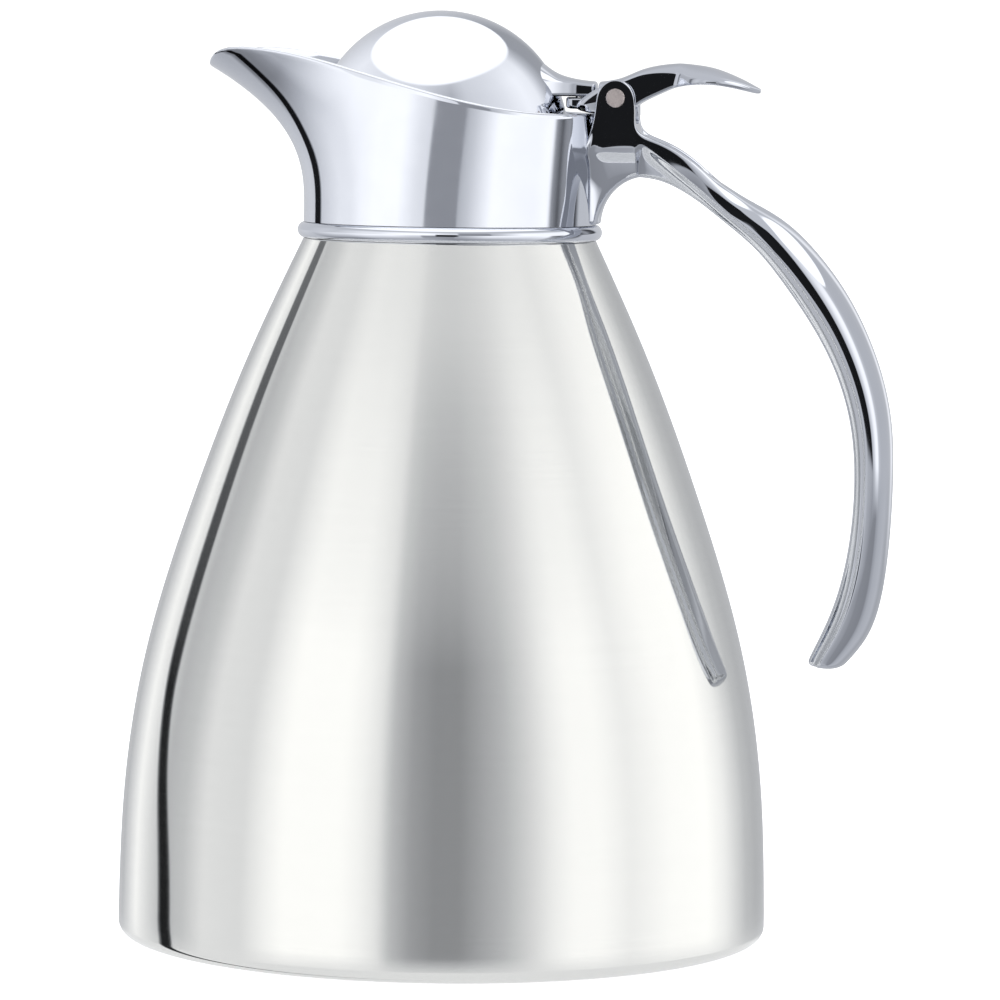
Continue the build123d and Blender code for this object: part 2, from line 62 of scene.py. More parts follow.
def make_camera():
    """A long lens, a little above the lid and turned slightly towards the handle."""
    bpy.ops.object.camera_add()
    camera = bpy.context.object
    camera.name = "camera"
    camera.data.lens = LENS
    camera.data.clip_end = 50
    turn = Matrix.Rotation(CAMERA_TURN, 3, "Z")
    ahead = turn @ Vector((sin(YAW) * cos(PITCH), cos(YAW) * cos(PITCH), -sin(PITCH)))
    right = ahead.cross(Vector((0, 0, 1))).normalized()
    up = right.cross(ahead)
    rolled_right = right * cos(ROLL) + up * sin(ROLL)
    rolled_up = up * cos(ROLL) - right * sin(ROLL)
    place = turn @ Vector((0, -CAMERA_BACK, CAMERA_UP)) * MM
    axes = Matrix((rolled_right, rolled_up, -ahead)).transposed().to_4x4()
    camera.matrix_world = Matrix.Translation(place) @ axes
    bpy.context.scene.camera = camera


make_camera()


# ---------------------------------------------------------------- nodes
def srgb(code):
    """A hex colour as linear red, green, blue and alpha."""
    channels = [int(code[i:i + 2], 16) / 255 for i in (0, 2, 4)]
    return [c / 12.92 if c <= 0.04045 else ((c + 0.055) / 1.055) ** 2.4 for c in channels] + [1]


def node(tree, kind, links=None, stops=None, **settings):
    """Add a node with its settings, its ramp's stops and what feeds its sockets."""
    made = tree.nodes.new(kind)
    for key, value in settings.items():
        setattr(made, key, value)
    for socket, value in (links or {}).items():
        if isinstance(value, bpy.types.NodeSocket):
            tree.links.new(value, made.inputs[socket])
        else:
            made.inputs[socket].default_value = value
    if stops:
        elements = made.color_ramp.elements
        while len(elements) < len(stops):
            elements.new(1)
        for element, (position, value) in zip(elements, stops):
            element.position = position
            element.color = value if len(np.shape(value)) else (value, value, value, 1)
    return made


# ---------------------------------------------------------------- studio
# Each group of pieces reflects a set of cards of its own, by light linking. The cards' bearings and
# brightnesses are set for the main camera's view.
# Panels: bearing in degrees from the camera, towards the handle positive, and brightness
SOFT_PANELS = [(-180, 0.42), (-158, 0.45), (-150, 0.60), (-139, 0.88), (-130, 0.72), (-116, 0.47),
               (-104, 0.55), (-93, 0.74), (-75, 0.70), (-66, 0.86), (-58, 0.98), (-36, 0.98),
               (-29, 0.90), (-23, 0.78), (-18, 0.50), (-11, 0.34), (-3, 0.27), (6, 0.27), (13, 0.36),
               (22, 0.48), (31, 0.66), (39, 0.84), (47, 0.95), (57, 0.96), (70, 0.85), (88, 0.97),
               (108, 1.0), (120, 0.85), (128, 0.68), (138, 0.50), (150, 0.42), (180, 0.42)]
HARD_PANELS = [(-180, 0.50), (-150, 0.52), (-128, 0.60), (-112, 0.56), (-96, 0.70), (-84, 0.80),
               (-72, 0.82), (-62, 0.94), (-50, 1.0), (-30, 1.0), (-16, 0.78), (-7.3, 0.72),
               (-7, 0.28), (17, 0.28), (17.5, 0.46), (26, 0.60), (35, 0.80), (44, 1.0), (80, 0.94),
               (92, 1.0), (95, 0.95), (98, 0.30), (105, 0.10), (109, 0.25), (114, 0.30),
               (120, 0.10), (128, 0.04), (134, 0.50), (180, 0.50)]
HARD_LOW = [(-180, 0.40), (-116, 0.42), (-110, 0.20), (-85, 0.22), (-70, 0.28), (-55, 0.42),
            (-7, 0.40), (17, 0.28), (95, 0.50), (180, 0.40)]
LID_PANELS = [(-180, 0.50), (-165, 0.55), (-138, 0.75), (-120, 0.85), (-90, 0.80), (-60, 0.72),
              (-24, 0.68), (-6, 0.55), (11, 0.45), (27, 0.62), (59, 0.74), (76, 0.82), (94, 0.90),
              (113, 0.84), (128, 0.50), (140, 0.33), (160, 0.32), (180, 0.50)]
GRIP_PANELS = [(-180, 0.42), (-152, 0.42), (-146, 0.60), (-138, 0.36), (-131, 0.34), (-129.5, 0.03),
               (-124, 0.03), (-123, 0.36), (-110, 0.38), (-104, 0.75), (-98, 0.40), (-84, 0.45),
               (-78, 0.12), (-70, 0.50), (-56, 0.60), (-40, 0.50), (-26, 0.60), (10, 0.40),
               (19, 0.60), (30, 0.62), (56, 0.92), (70, 1.0), (76, 0.85), (82, 0.55), (96, 0.46),
               (130, 0.45), (146, 0.46), (151, 0.85), (158, 0.46), (180, 0.42)]
GRIP_LOW = [(-180, 0.42), (-150, 0.45), (-130, 0.36), (-112, 0.33), (-60, 0.36), (-24, 0.44),
            (-12, 0.34), (-4, 0.26), (68, 0.24), (78, 0.34), (96, 0.42), (125, 0.46), (142, 0.36),
            (180, 0.42)]
# Dark cards, by bearing: 1 is clear of the card
DARK_GAP = [(-130.5, 1), (-129, 0.03), (-122.5, 0.03), (-121, 1)]
SPOUT_GAP = [(-119, 1), (-118.5, 0.02), (-108.5, 0.02), (-108, 1)]
DARK_CARD = [(-25, 1), (-24.5, 0.02), (3, 0.02), (3.5, 1)]
TALL_CARD = [(-36, 1), (-35, 0.02), (7.5, 0.02), (8.5, 1)]
SMALL_CARD = [(-11, 1), (-10.5, 0.02), (5.5, 0.02), (6, 1)]
# Levels: height in degrees above the horizon, and a share from 0 to 1
EVERY_HEIGHT = [(0, 0)]
CARD_HEIGHTS = [(-9.5, 1), (-9, 0), (9, 0), (10, 1)]
TALL_HEIGHTS = [(-5.5, 1), (-5, 0), (52, 0), (56, 1)]
NO_LEAN = (-1, 1, 0, 0)
SOFTBOX = (-0.10, 0.27, 0.856, 1.13)
# For each group: panels level with the pot and panels below it, and the heights between which
# one turns into the other; the dark card, its reach in height (1 is clear of it) and its lean;
# the lean of the panels, as two heights and the turn at each; where the plain room takes over
# and its brightness; and the overhead softbox for a ceiling one unit up, as its middle and half
# size, across and along
LOOKS = {
    "flask": {"panels": SOFT_PANELS, "low": SOFT_PANELS, "turn": EVERY_HEIGHT, "card": DARK_GAP,
              "free": EVERY_HEIGHT, "card_lean": (-11, 4, -11, 0), "lean": NO_LEAN, "room": 0.72,
              "box": None,
              "reach": [(-16, 1), (-9, 0), (20, 0), (45, 0.75), (60, 1)]},
    "head": {"panels": HARD_PANELS, "low": HARD_LOW, "turn": [(-45, 0), (-2, 1)], "card": SPOUT_GAP,
             "free": EVERY_HEIGHT, "card_lean": (-42, -5, 2, 14), "lean": (-2.5, 2.5, 14, -14), "room": 0.50,
             "box": SOFTBOX, "reach": [(22, 0), (38, 1)]},
    "lid": {"panels": LID_PANELS, "low": LID_PANELS, "turn": EVERY_HEIGHT, "card": [(0, 1)],
            "free": EVERY_HEIGHT, "card_lean": NO_LEAN, "lean": NO_LEAN, "room": 0.72,
            "box": SOFTBOX, "reach": [(-30, 1), (-12, 0), (40, 0), (70, 1)]},
    "grip": {"panels": GRIP_PANELS, "low": GRIP_LOW, "turn": [(-9, 0), (-4, 1)], "card": TALL_CARD,
             "free": TALL_HEIGHTS, "card_lean": NO_LEAN, "lean": NO_LEAN, "room": 0.52,
             "box": (0.9, 0.3, 0.5, 0.9), "reach": [(30, 0), (60, 1)]}}
LOOKS["lever"] = dict(LOOKS["grip"], card=DARK_CARD, free=CARD_HEIGHTS)
LOOKS["bead"] = dict(LOOKS["head"], card=SMALL_CARD, free=[(-14, 1), (-13, 0), (9, 0), (10, 1)],
                     card_lean=NO_LEAN)
WHITE = 1.36                 # strength of a card at full brightness
BOX_LIGHT = 1.05             # the softbox against the brightest card
BOX_EDGE = 0.03              # half the width of its soft edge, as a share of its size
LEAST_RISE = 0.05            # keeps its slant finite near the horizon
BACKDROP_LIGHT = 1.2
TABLE_GLOW = 0.75


def bearings(panels):
    """Panel bearings as places along a ramp that runs right round."""
    return [((bearing + 180) / 360, value) for bearing, value in panels]


def heights(levels):
    """Heights in degrees above the horizon as places along a ramp from below to overhead."""
    return [((height + 90) / 180, value) for height, value in levels]


def leaning(tree, share, height, lean):
    """A bearing, as a share of a turn, shifted by a lean that grows with height."""
    low, high, low_turn, high_turn = lean
    turn = node(tree, "ShaderNodeMapRange", {0: height, 1: radians(low), 2: radians(high),
                                             3: low_turn / 360, 4: high_turn / 360},
                interpolation_type="SMOOTHSTEP").outputs[0]
    turned_share = node(tree, "ShaderNodeMath", {0: share, 1: turn}, operation="ADD").outputs[0]
    return node(tree, "ShaderNodeMath", {0: turned_share}, operation="FRACT").outputs[0]


def studio(tree, direction, look):
    """The light that comes from a direction: panels round the pot and a softbox overhead."""
    parts = node(tree, "ShaderNodeSeparateXYZ", {0: direction}).outputs
    x, y, z = parts[0], parts[1], parts[2]
    front = node(tree, "ShaderNodeMath", {0: y, 1: -1.0}, operation="MULTIPLY").outputs[0]
    bearing = node(tree, "ShaderNodeMath", {0: x, 1: front}, operation="ARCTAN2").outputs[0]
    share = node(tree, "ShaderNodeMath", {0: bearing, 1: 0.5 / pi, 2: 0.5 - CAMERA_TURN / 2 / pi},
                 operation="MULTIPLY_ADD").outputs[0]
    height = node(tree, "ShaderNodeMath", {0: z}, operation="ARCSINE").outputs[0]
    level = node(tree, "ShaderNodeMath", {0: height, 1: 1 / pi, 2: 0.5},
                 operation="MULTIPLY_ADD").outputs[0]
    panel_share = leaning(tree, share, height, look["lean"])
    card_share = leaning(tree, share, height, look["card_lean"])
    upper, lower = [node(tree, "ShaderNodeValToRGB", {0: panel_share}, bearings(look[part])).outputs[0]
                    for part in ("panels", "low")]
    card = node(tree, "ShaderNodeValToRGB", {0: card_share}, bearings(look["card"])).outputs[0]
    turn, free, above = [node(tree, "ShaderNodeValToRGB", {0: level}, heights(look[part])).outputs[0]
                         for part in ("turn", "free", "reach")]
    ring = node(tree, "ShaderNodeMix", {0: turn, 2: lower, 3: upper}).outputs[0]
    card = node(tree, "ShaderNodeMath", {0: card, 1: free}, operation="MAXIMUM").outputs[0]
    walls = node(tree, "ShaderNodeMix", {0: above, 2: ring, 3: look["room"]}).outputs[0]
    lit = node(tree, "ShaderNodeMath", {0: walls, 1: card}, operation="MULTIPLY").outputs[0]
    if look["box"]:
        rise = node(tree, "ShaderNodeMath", {0: z, 1: LEAST_RISE}, operation="MAXIMUM").outputs[0]
        over = node(tree, "ShaderNodeVectorMath", {0: direction, 1: rise},
                    operation="DIVIDE").outputs[0]
        middle_x, middle_y, half_x, half_y = look["box"]
        over = node(tree, "ShaderNodeMapping", {
            0: over, "Location": (-middle_x / half_x, -middle_y / half_y, 0),
            "Scale": (1 / half_x, 1 / half_y, 0)}).outputs[0]
        away = node(tree, "ShaderNodeVectorMath", {0: over}, operation="LENGTH").outputs["Value"]
        inside = node(tree, "ShaderNodeMapRange", {0: away, 1: 1 + BOX_EDGE, 2: 1 - BOX_EDGE}).outputs[0]
        lit = node(tree, "ShaderNodeMix", {0: inside, 2: lit, 3: BOX_LIGHT}).outputs[0]
    bright = node(tree, "ShaderNodeMath", {0: lit, 1: WHITE}, operation="MULTIPLY").outputs[0]
    # Shaded cards are a cool grey, lit ones white
    cool = node(tree, "ShaderNodeMix", {0: lit, 6: srgb("F2F6FF"), 7: srgb("FFFFFF")},
                data_type="RGBA").outputs[2]
    return node(tree, "ShaderNodeVectorMath", {0: cool, 1: bright}, operation="MULTIPLY").outputs[0]


def light_room():
    """The studio as the world's light."""
    scene = bpy.context.scene
    scene.view_settings.view_transform = "Standard"
    world = bpy.data.worlds.new("studio")
    scene.world = world
    world.use_nodes = True
    world.cycles.sampling_method = "NONE"
    tree = world.node_tree
    tree.nodes.clear()
    facing = node(tree, "ShaderNodeTexCoord").outputs["Generated"]
    light = node(tree, "ShaderNodeBackground", {"Color": studio(tree, facing, LOOKS["flask"])})
    plain = node(tree, "ShaderNodeBackground", {"Color": srgb("FFFFFF"), "Strength": BACKDROP_LIGHT})
    seen = node(tree, "ShaderNodeLightPath").outputs["Is Camera Ray"]
    sky = node(tree, "ShaderNodeMixShader", {0: seen, 1: light.outputs[0], 2: plain.outputs[0]})
    node(tree, "ShaderNodeOutputWorld", {0: sky.outputs[0]})


def make_floor():
    """A wide pale table, bright enough to run into the background."""
    bpy.ops.object.select_all(action="DESELECT")
    bpy.ops.mesh.primitive_plane_add(size=30)
    floor = bpy.context.object
    floor.name = "floor"
    floor.visible_glossy = False
    paint = bpy.data.materials.new("pale_table")
    paint.use_nodes = True
    tree = paint.node_tree
    tree.nodes.clear()
    matt = node(tree, "ShaderNodeBsdfDiffuse", {"Color": srgb("F4F4F4")})
    glow = node(tree, "ShaderNodeEmission", {"Color": srgb("FFFFFF"), "Strength": TABLE_GLOW})
    both = node(tree, "ShaderNodeAddShader", {0: matt.outputs[0], 1: glow.outputs[0]})
    node(tree, "ShaderNodeOutputMaterial", {0: both.outputs[0]})
    floor.data.materials.append(paint)


SHELL_R = 10.0               # metres, so far off that it looks the same from all over the pot
SHELL_GAP = 0.1
SHELL_Z = 0.17               # metres, height that the cards' angles are taken from


def reflector(look, layer, seen_by):
    """A shell of cards round the set, which only the named pieces reflect."""
    bpy.ops.object.select_all(action="DESELECT")
    bpy.ops.mesh.primitive_ico_sphere_add(subdivisions=4, radius=SHELL_R - layer * SHELL_GAP,
                                          location=(0, 0, SHELL_Z))
    shell = bpy.context.object
    shell.name = "cards_" + look
    shell.visible_camera = False
    shell.visible_diffuse = False
    shell.visible_transmission = False
    shell.visible_shadow = False
    paint = bpy.data.materials.new(shell.name)
    paint.use_nodes = True
    tree = paint.node_tree
    tree.nodes.clear()
    place = node(tree, "ShaderNodeTexCoord").outputs["Object"]
    facing = node(tree, "ShaderNodeVectorMath", {0: place}, operation="NORMALIZE").outputs[0]
    surface = node(tree, "ShaderNodeEmission", {"Color": studio(tree, facing, LOOKS[look])}).outputs[0]
    if layer:
        clear = node(tree, "ShaderNodeBsdfTransparent").outputs[0]
        surface = node(tree, "ShaderNodeAddShader", {0: surface, 1: clear}).outputs[0]
    node(tree, "ShaderNodeOutputMaterial", {0: surface})
    paint.cycles.emission_sampling = "NONE"
    shell.data.materials.append(paint)
    group = bpy.data.collections.new(shell.name)
    for piece in seen_by:
        group.objects.link(piece)
    shell.light_linking.receiver_collection = group


light_room()
make_floor()


# ---------------------------------------------------------------- shaping
def deselect():
    """Leave edit mode, with nothing selected."""
    if bpy.context.object and bpy.context.object.mode != "OBJECT":
        bpy.ops.object.mode_set(mode="OBJECT")
    bpy.ops.object.select_all(action="DESELECT")


def spline(points, count):
    """Even steps along a line through the points whose bend never jumps."""
    given = np.array(points, float)
    steps = np.linalg.norm(np.diff(given[:, :2], axis=0), axis=1)
    along = np.concatenate([[0], np.cumsum(steps)])
    size = len(given)
    system = np.eye(size)
    pull = np.zeros_like(given)
    for i in range(1, size - 1):
        before, after = steps[i - 1], steps[i]
        system[i, i - 1:i + 2] = before, 2 * (before + after), after
        pull[i] = 6 * ((given[i + 1] - given[i]) / after - (given[i] - given[i - 1]) / before)
    bend = np.linalg.solve(system, pull)
    line = []
    for t in np.linspace(0, along[-1], count):
        i = min(int(np.searchsorted(along, t, side="right")) - 1, size - 2)
        b = (t - along[i]) / steps[i]
        a = 1 - b
        curve = (a ** 3 - a) * bend[i] + (b ** 3 - b) * bend[i + 1]
        line.append(a * given[i] + b * given[i + 1] + curve * steps[i] ** 2 / 6)
    return line


def arc(centre, radius, start, end, count):
    """Points on an arc, from one angle to another in degrees."""
    angles = [radians(start + (end - start) * i / (count - 1)) for i in range(count)]
    return [(centre[0] + radius * cos(a), centre[1] + radius * sin(a)) for a in angles]


def first_ring(name, points):
    """A new piece that starts as a circle, its points then put in place."""
    deselect()
    bpy.ops.mesh.primitive_circle_add(vertices=len(points), radius=MM)
    piece = bpy.context.object
    piece.name = name
    piece.data.name = name
    bpy.ops.object.mode_set(mode="EDIT")
    mesh = bmesh.from_edit_mesh(piece.data)
    mesh.verts.ensure_lookup_table()
    for vertex, point in zip(mesh.verts, points):
        vertex.co = Vector(point) * MM
    bmesh.update_edit_mesh(piece.data)
    bpy.ops.mesh.select_all(action="SELECT")
    return piece


def finish(piece, angle, levels=0):
    """Close seams, face every face outwards, subdivide and smooth."""
    bpy.ops.mesh.select_all(action="SELECT")
    bpy.ops.mesh.remove_doubles(threshold=2e-7)
    bpy.ops.mesh.dissolve_degenerate(threshold=1e-7)
    bpy.ops.mesh.select_all(action="SELECT")
    bpy.ops.mesh.delete_loose()
    bpy.ops.mesh.select_all(action="SELECT")
    bpy.ops.mesh.normals_make_consistent(inside=False)
    bpy.ops.object.mode_set(mode="OBJECT")
    if levels:
        smoother = piece.modifiers.new("smooth", "SUBSURF")
        smoother.levels = levels
        smoother.render_levels = levels
        bpy.ops.object.modifier_apply(modifier=smoother.name)
    bpy.ops.object.shade_smooth_by_angle(angle=radians(angle))
    return piece


def turned(name, profile, angle=35, steps=128, axis_x=0.0):
    """Spin a closed profile of (radius, height) points round an upright axis."""
    piece = first_ring(name, [(axis_x + r, 0, z) for r, z in profile])
    bpy.ops.mesh.spin(steps=steps, angle=2 * pi, center=(axis_x * MM, 0, 0), axis=(0, 0, 1))
    return finish(piece, angle)


def skin(name, rings, angle=40, levels=0, capped=True):
    """Draw a skin through rings of points, each extruded from the one before."""
    piece = first_ring(name, rings[0])
    if capped:
        bpy.ops.mesh.edge_face_add()
    before = [tuple(Vector(point) * MM) for point in rings[0]]
    for ring in rings[1:]:
        mesh = bmesh.from_edit_mesh(piece.data)
        for face in mesh.faces:
            face.select = False
        mesh.select_flush_mode()
        wanted = {tuple(round(c, 7) for c in point): index for index, point in enumerate(before)}
        matches = [wanted.get(tuple(round(c, 7) for c in vertex.co)) for vertex in mesh.verts]
        last = len(mesh.verts) - len(ring)
        for vertex, match in zip(mesh.verts, matches):
            vertex.select = match is not None and vertex.index >= last
        for edge in mesh.edges:
            edge.select = edge.verts[0].select and edge.verts[1].select
        bmesh.update_edit_mesh(piece.data)
        bpy.ops.mesh.extrude_edges_indiv()
        mesh = bmesh.from_edit_mesh(piece.data)
        after = [tuple(Vector(point) * MM) for point in ring]
        for vertex in mesh.verts:
            if vertex.select:
                vertex.co = after[wanted[tuple(round(c, 7) for c in vertex.co)]]
        bmesh.update_edit_mesh(piece.data)
        before = after
    if capped:
        bpy.ops.mesh.edge_face_add()
    return finish(piece, angle, levels)


def together(pieces):
    """Join pieces that are one casting into the first of them."""
    deselect()
    for piece in pieces:
        piece.select_set(True)
    bpy.context.view_layer.objects.active = pieces[0]
    bpy.ops.object.join()
    return pieces[0]


def both_sides(half):
    """A full ring from its +Y half, whose first and last points lie on the middle plane."""
    return half + [(x, -y, z) for x, y, z in reversed(half[1:-1])]


# ---------------------------------------------------------------- flask and neck bead
BODY_WALL = [(70.1, 6), (69.2, 30), (64.5, 62), (54.8, 94.5), (42.5, 127), (31.5, 151)]
SHEET = 0.7                  # thickness of the steel sheet
CORNER_R = 2.6               # rolled corner at the base
STEEL_Z = 0.5                # steel stands this far off the table
NECK_R = 27.8
NECK_TOP_Z = 162.8


def make_flask():
    """The visible flask wall, one spun sheet from the base hem to the hidden neck."""
    outside = [tuple(p) for p in spline(BODY_WALL, 70)]
    wall = np.array(outside)
    run = np.gradient(wall, axis=0)
    run /= np.linalg.norm(run, axis=1)[:, None]
    inside = [(r - SHEET * dz, z + SHEET * dr) for (r, z), (dr, dz) in zip(outside, run)]
    wall_r = BODY_WALL[0][0]
    corner = (wall_r - CORNER_R, STEEL_Z + CORNER_R)
    hem_r = wall_r - CORNER_R - 1.5
    shoulder_z = BODY_WALL[-1][1]
    profile = [(hem_r, STEEL_Z + SHEET), (hem_r, STEEL_Z)]
    profile += arc(corner, CORNER_R, -90, 0, 12) + outside
    profile += [(NECK_R, shoulder_z), (NECK_R, NECK_TOP_Z), (NECK_R - SHEET, NECK_TOP_Z),
                (NECK_R - SHEET, shoulder_z - SHEET)]
    profile += inside[::-1] + arc(corner, CORNER_R - SHEET, 0, -90, 12)
    return turned("flask_body", profile, steps=160)


def make_bead():
    """The half-round bead that covers the joint between flask and head."""
    low, high, inner, flat, outer = 151.05, 154.45, 30.6, 31.3, 32.8
    middle = (low + high) / 2
    round_part = [(flat + (outer - flat) * cos(a), middle + (high - low) / 2 * sin(a))
                  for a in np.linspace(-pi / 2, pi / 2, 17)]
    return turned("neck_bead", [(inner, high), (inner, low)] + round_part, steps=160)


# ---------------------------------------------------------------- head with its spout
HEAD_R = 31.5
HEAD_WALL = 1.3
HEAD_Z = 154.5
SPOUT_START_Z = 158
SPOUT_RISE = 29.9
SPOUT_PULL = 21.4            # how far the lip stands out past the round wall
SPOUT_FLARE = 2.5
SPOUT_SHARPNESS = 7          # higher is a narrower spout
RIM_LINE = [(-52.9, 187.8), (-50.3, 190.2), (-42, 191.6), (-30.6, 190.1), (4.5, 181.4), (22, 178.6),
            (34, 178.4)]
LIP_DROP = 6                 # how steeply the rim falls past the lip's tip
HEAD_COLUMNS = 144
HEAD_ROWS = 40


def head_radius(angle, z, wall=0.0):
    """Distance from the axis to the head's wall, on the outside or inside a wall's thickness."""
    rise = max(z - SPOUT_START_Z, 0) / SPOUT_RISE
    slope = SPOUT_PULL * SPOUT_FLARE * rise ** (SPOUT_FLARE - 1) / SPOUT_RISE
    reach = SPOUT_PULL * rise ** SPOUT_FLARE - wall * (hypot(1, slope) - 1)
    return HEAD_R - wall + reach * max(-cos(angle), 0) ** SPOUT_SHARPNESS


def rim_height(angle, line):
    """Where the wall meets the rim, whose height follows the side view's line."""
    low, high = 170.0, 196.0
    for _ in range(40):
        z = (low + high) / 2
        x = head_radius(angle, z) * cos(angle)
        beyond = x - line[0, 0]
        rim = np.interp(x, line[:, 0], line[:, 1]) if beyond > 0 else line[0, 1] + LIP_DROP * beyond
        low, high = (z, high) if z < rim else (low, z)
    return low


def make_head():
    """The head: outer wall, rounded lip and inner wall, pulled out into the spout."""
    line = np.array(spline(RIM_LINE, 120))
    columns = []
    for i in range(HEAD_COLUMNS):
        angle = 2 * pi * i / HEAD_COLUMNS
        lip = HEAD_WALL / 2
        top = rim_height(angle, line) - lip
        rise = np.linspace(0, 1, HEAD_ROWS) ** 0.9
        outer = [(head_radius(angle, z), z) for z in HEAD_Z + (top - HEAD_Z) * rise]
        inner = [(head_radius(angle, z, HEAD_WALL), z) for z in HEAD_Z + (top - HEAD_Z) * rise]
        ahead = np.subtract(outer[-1], outer[-2])
        ahead /= np.linalg.norm(ahead)
        middle = (np.array(outer[-1]) + inner[-1]) / 2
        half = np.array(outer[-1]) - middle
        edge = [tuple(middle + half * cos(a) + ahead * np.linalg.norm(half) * sin(a))
                for a in np.linspace(0, pi, 11)[1:-1]]
        column = outer + edge + inner[::-1] + outer[:1]
        columns.append([(r * cos(angle), r * sin(angle), z) for r, z in column])
    rings = [list(ring) for ring in zip(*columns)]
    return skin("spout_head_shell", rings, angle=50, capped=False)


# ---------------------------------------------------------------- handle
EAR_HALF = 8.5               # half the width over both ears
SLOT_HALF = 5.5              # half the gap between the ears
SLOT_Z = 176.3               # floor of the gap
SCOOP_Z = 170.6              # below this the root's sides scoop in
FOOT_Z = 163.3
FOOT_HALF = 5.2
SCOOP_R = 9.3
UNDER_ARC = (42.87, 154.6)   # centre of the arc under the root
UNDER_R = 10.47
CHANNEL_HALF = 4.2           # half the width of the channel in the grip's outer face
ROOT_X = 29.3                # where the root meets the head
FLARE = 2.4                  # how far each side flares there, and the extra at the foot
FOOT_FLARE = 1.0
FLARE_RUN = 2.2              # how far back the flare reaches, and the extra at the foot
FOOT_RUN = 1.8
# Outline of the root and ears, and for each point where its ring starts on the arc, in degrees
ROOT_RINGS = [((29.3, 154.6), 0), ((29.3, 155.2), 2.5), ((29.3, 158.6), 14), ((29.3, 163), 26),
              ((29.3, 167.3), 37), ((29.6, 170.6), 46), ((30.5, 173.6), 52), ((31.3, 176.8), 57),
              ((31.7, 179.3), 60.5), ((31.9, 181.8), 63.5), ((32.45, 183.85), 66), ((33.95, 185.35), 68),
              ((36, 185.9), 70), ((38.05, 185.35), 71.5), ((39.55, 183.85), 73), ((40.1, 181.8), 74.2),
              ((40.1, 179.2), 75.2), ((40.1, 176.9), 76.3), ((40.6, 175.2), 77.6)]
# Grip: inner x z, outer x z, half width, low and high edge of the flat side as shares of the
# thickness, how square the rails are, and the channel's depth
GRIP_STATIONS = [(41.0, 164.9, 42.2, 173.9, 8.4, 0.79, 0.84, 1.0, 2.0),
                 (44.0, 164.6, 46.0, 172.6, 8.0, 0.62, 0.67, 1.0, 2.1),
                 (50.0, 162.2, 53.0, 168.4, 7.2, 0.44, 0.52, 0.9, 2.0),
                 (54.2, 159.5, 57.6, 165.0, 6.4, 0.36, 0.51, 0.5, 0.9),
                 (58.2, 156.4, 61.8, 161.9, 6.2, 0.32, 0.52, 0.15, 0.1),
                 (66.0, 150.0, 71.6, 156.4, 8.75, 0.30, 0.53, 0, 0),
                 (72.4, 142.4, 80.4, 148.0, 10.0, 0.30, 0.53, 0, 0),
                 (81.4, 128.6, 90.0, 132.8, 10.2, 0.30, 0.53, 0, 0),
                 (87.0, 112.6, 95.6, 114.6, 10.2, 0.30, 0.53, 0, 0),
                 (88.0, 99.5, 96.3, 99.5, 10.1, 0.30, 0.53, 0, 0),
                 (86.9, 85.7, 95.4, 83.4, 9.9, 0.30, 0.53, 0, 0),
                 (83.4, 72.0, 92.2, 68.6, 9.5, 0.30, 0.53, 0, 0),
                 (79.0, 62.3, 87.2, 61.5, 8.5, 0.30, 0.53, 0, 0)]
GRIP_RINGS = 46
# Rounding of the open end: share of the section's size, and step beyond the last station
END_ROUNDING = [(0.94, 0.8), (0.78, 1.5), (0.48, 1.9)]


def root_half(x, z):
    """Half the root's width: flat ears, scooped sides, and a flare where it meets the head."""
    if z >= SCOOP_Z:
        half = EAR_HALF
    elif z > FOOT_Z:
        half = FOOT_HALF + SCOOP_R - sqrt(SCOOP_R ** 2 - (z - FOOT_Z) ** 2)
    else:
        half = FOOT_HALF
    foot = min(max((170 - z) / 5, 0), 1)
    fade = min(max((175 - z) / 4, 0), 1)
    near = max(0, 1 - (x - ROOT_X) / (FLARE_RUN + FOOT_RUN * foot)) ** 2
    return half + (FLARE + FOOT_FLARE * foot) * near * fade


def root_ring(top, start):
    """One ring of the root, from the arc under it up to the outline, slotted between the ears."""
    a = radians(start)
    low = Vector((UNDER_ARC[0] - UNDER_R * cos(a), UNDER_ARC[1] + UNDER_R * sin(a)))
    way = Vector(top) - low
    length = way.length
    edge = (SCOOP_Z - low.y) / way.y if top[1] > SCOOP_Z + 1 else 0.82
    floor = min(1, (SLOT_Z - low.y) / way.y) if top[1] > SLOT_Z else 1
    side = [0.9 / length, edge * 0.35, edge * 0.7, edge - 0.3 / length, edge + 0.3 / length,
            edge + (1 - edge) * 0.5, 1 - 1.1 / length, 1 - 0.3 / length]

    def spot(share, half=None):
        x, z = low + way * share
        return (x, root_half(x, z) if half is None else half, z)

    half = spot(1)[1]
    ring = [spot(0, 0), spot(0, spot(0)[1] - 1.2)] + [spot(share) for share in side]
    ring += [spot(1, half - 0.3), spot(1, half - 1.1), spot(1, min(SLOT_HALF + 0.4, half - 1.5)),
             spot(1 - 0.4 / length if floor < 1 else 1, min(SLOT_HALF, half - 1.9)),
             spot(min(floor + 0.6 / length, 1), min(SLOT_HALF, half - 2.2)),
             spot(floor, min(SLOT_HALF - 0.6, half - 2.8)), spot(floor, 0)]
    return both_sides(ring)


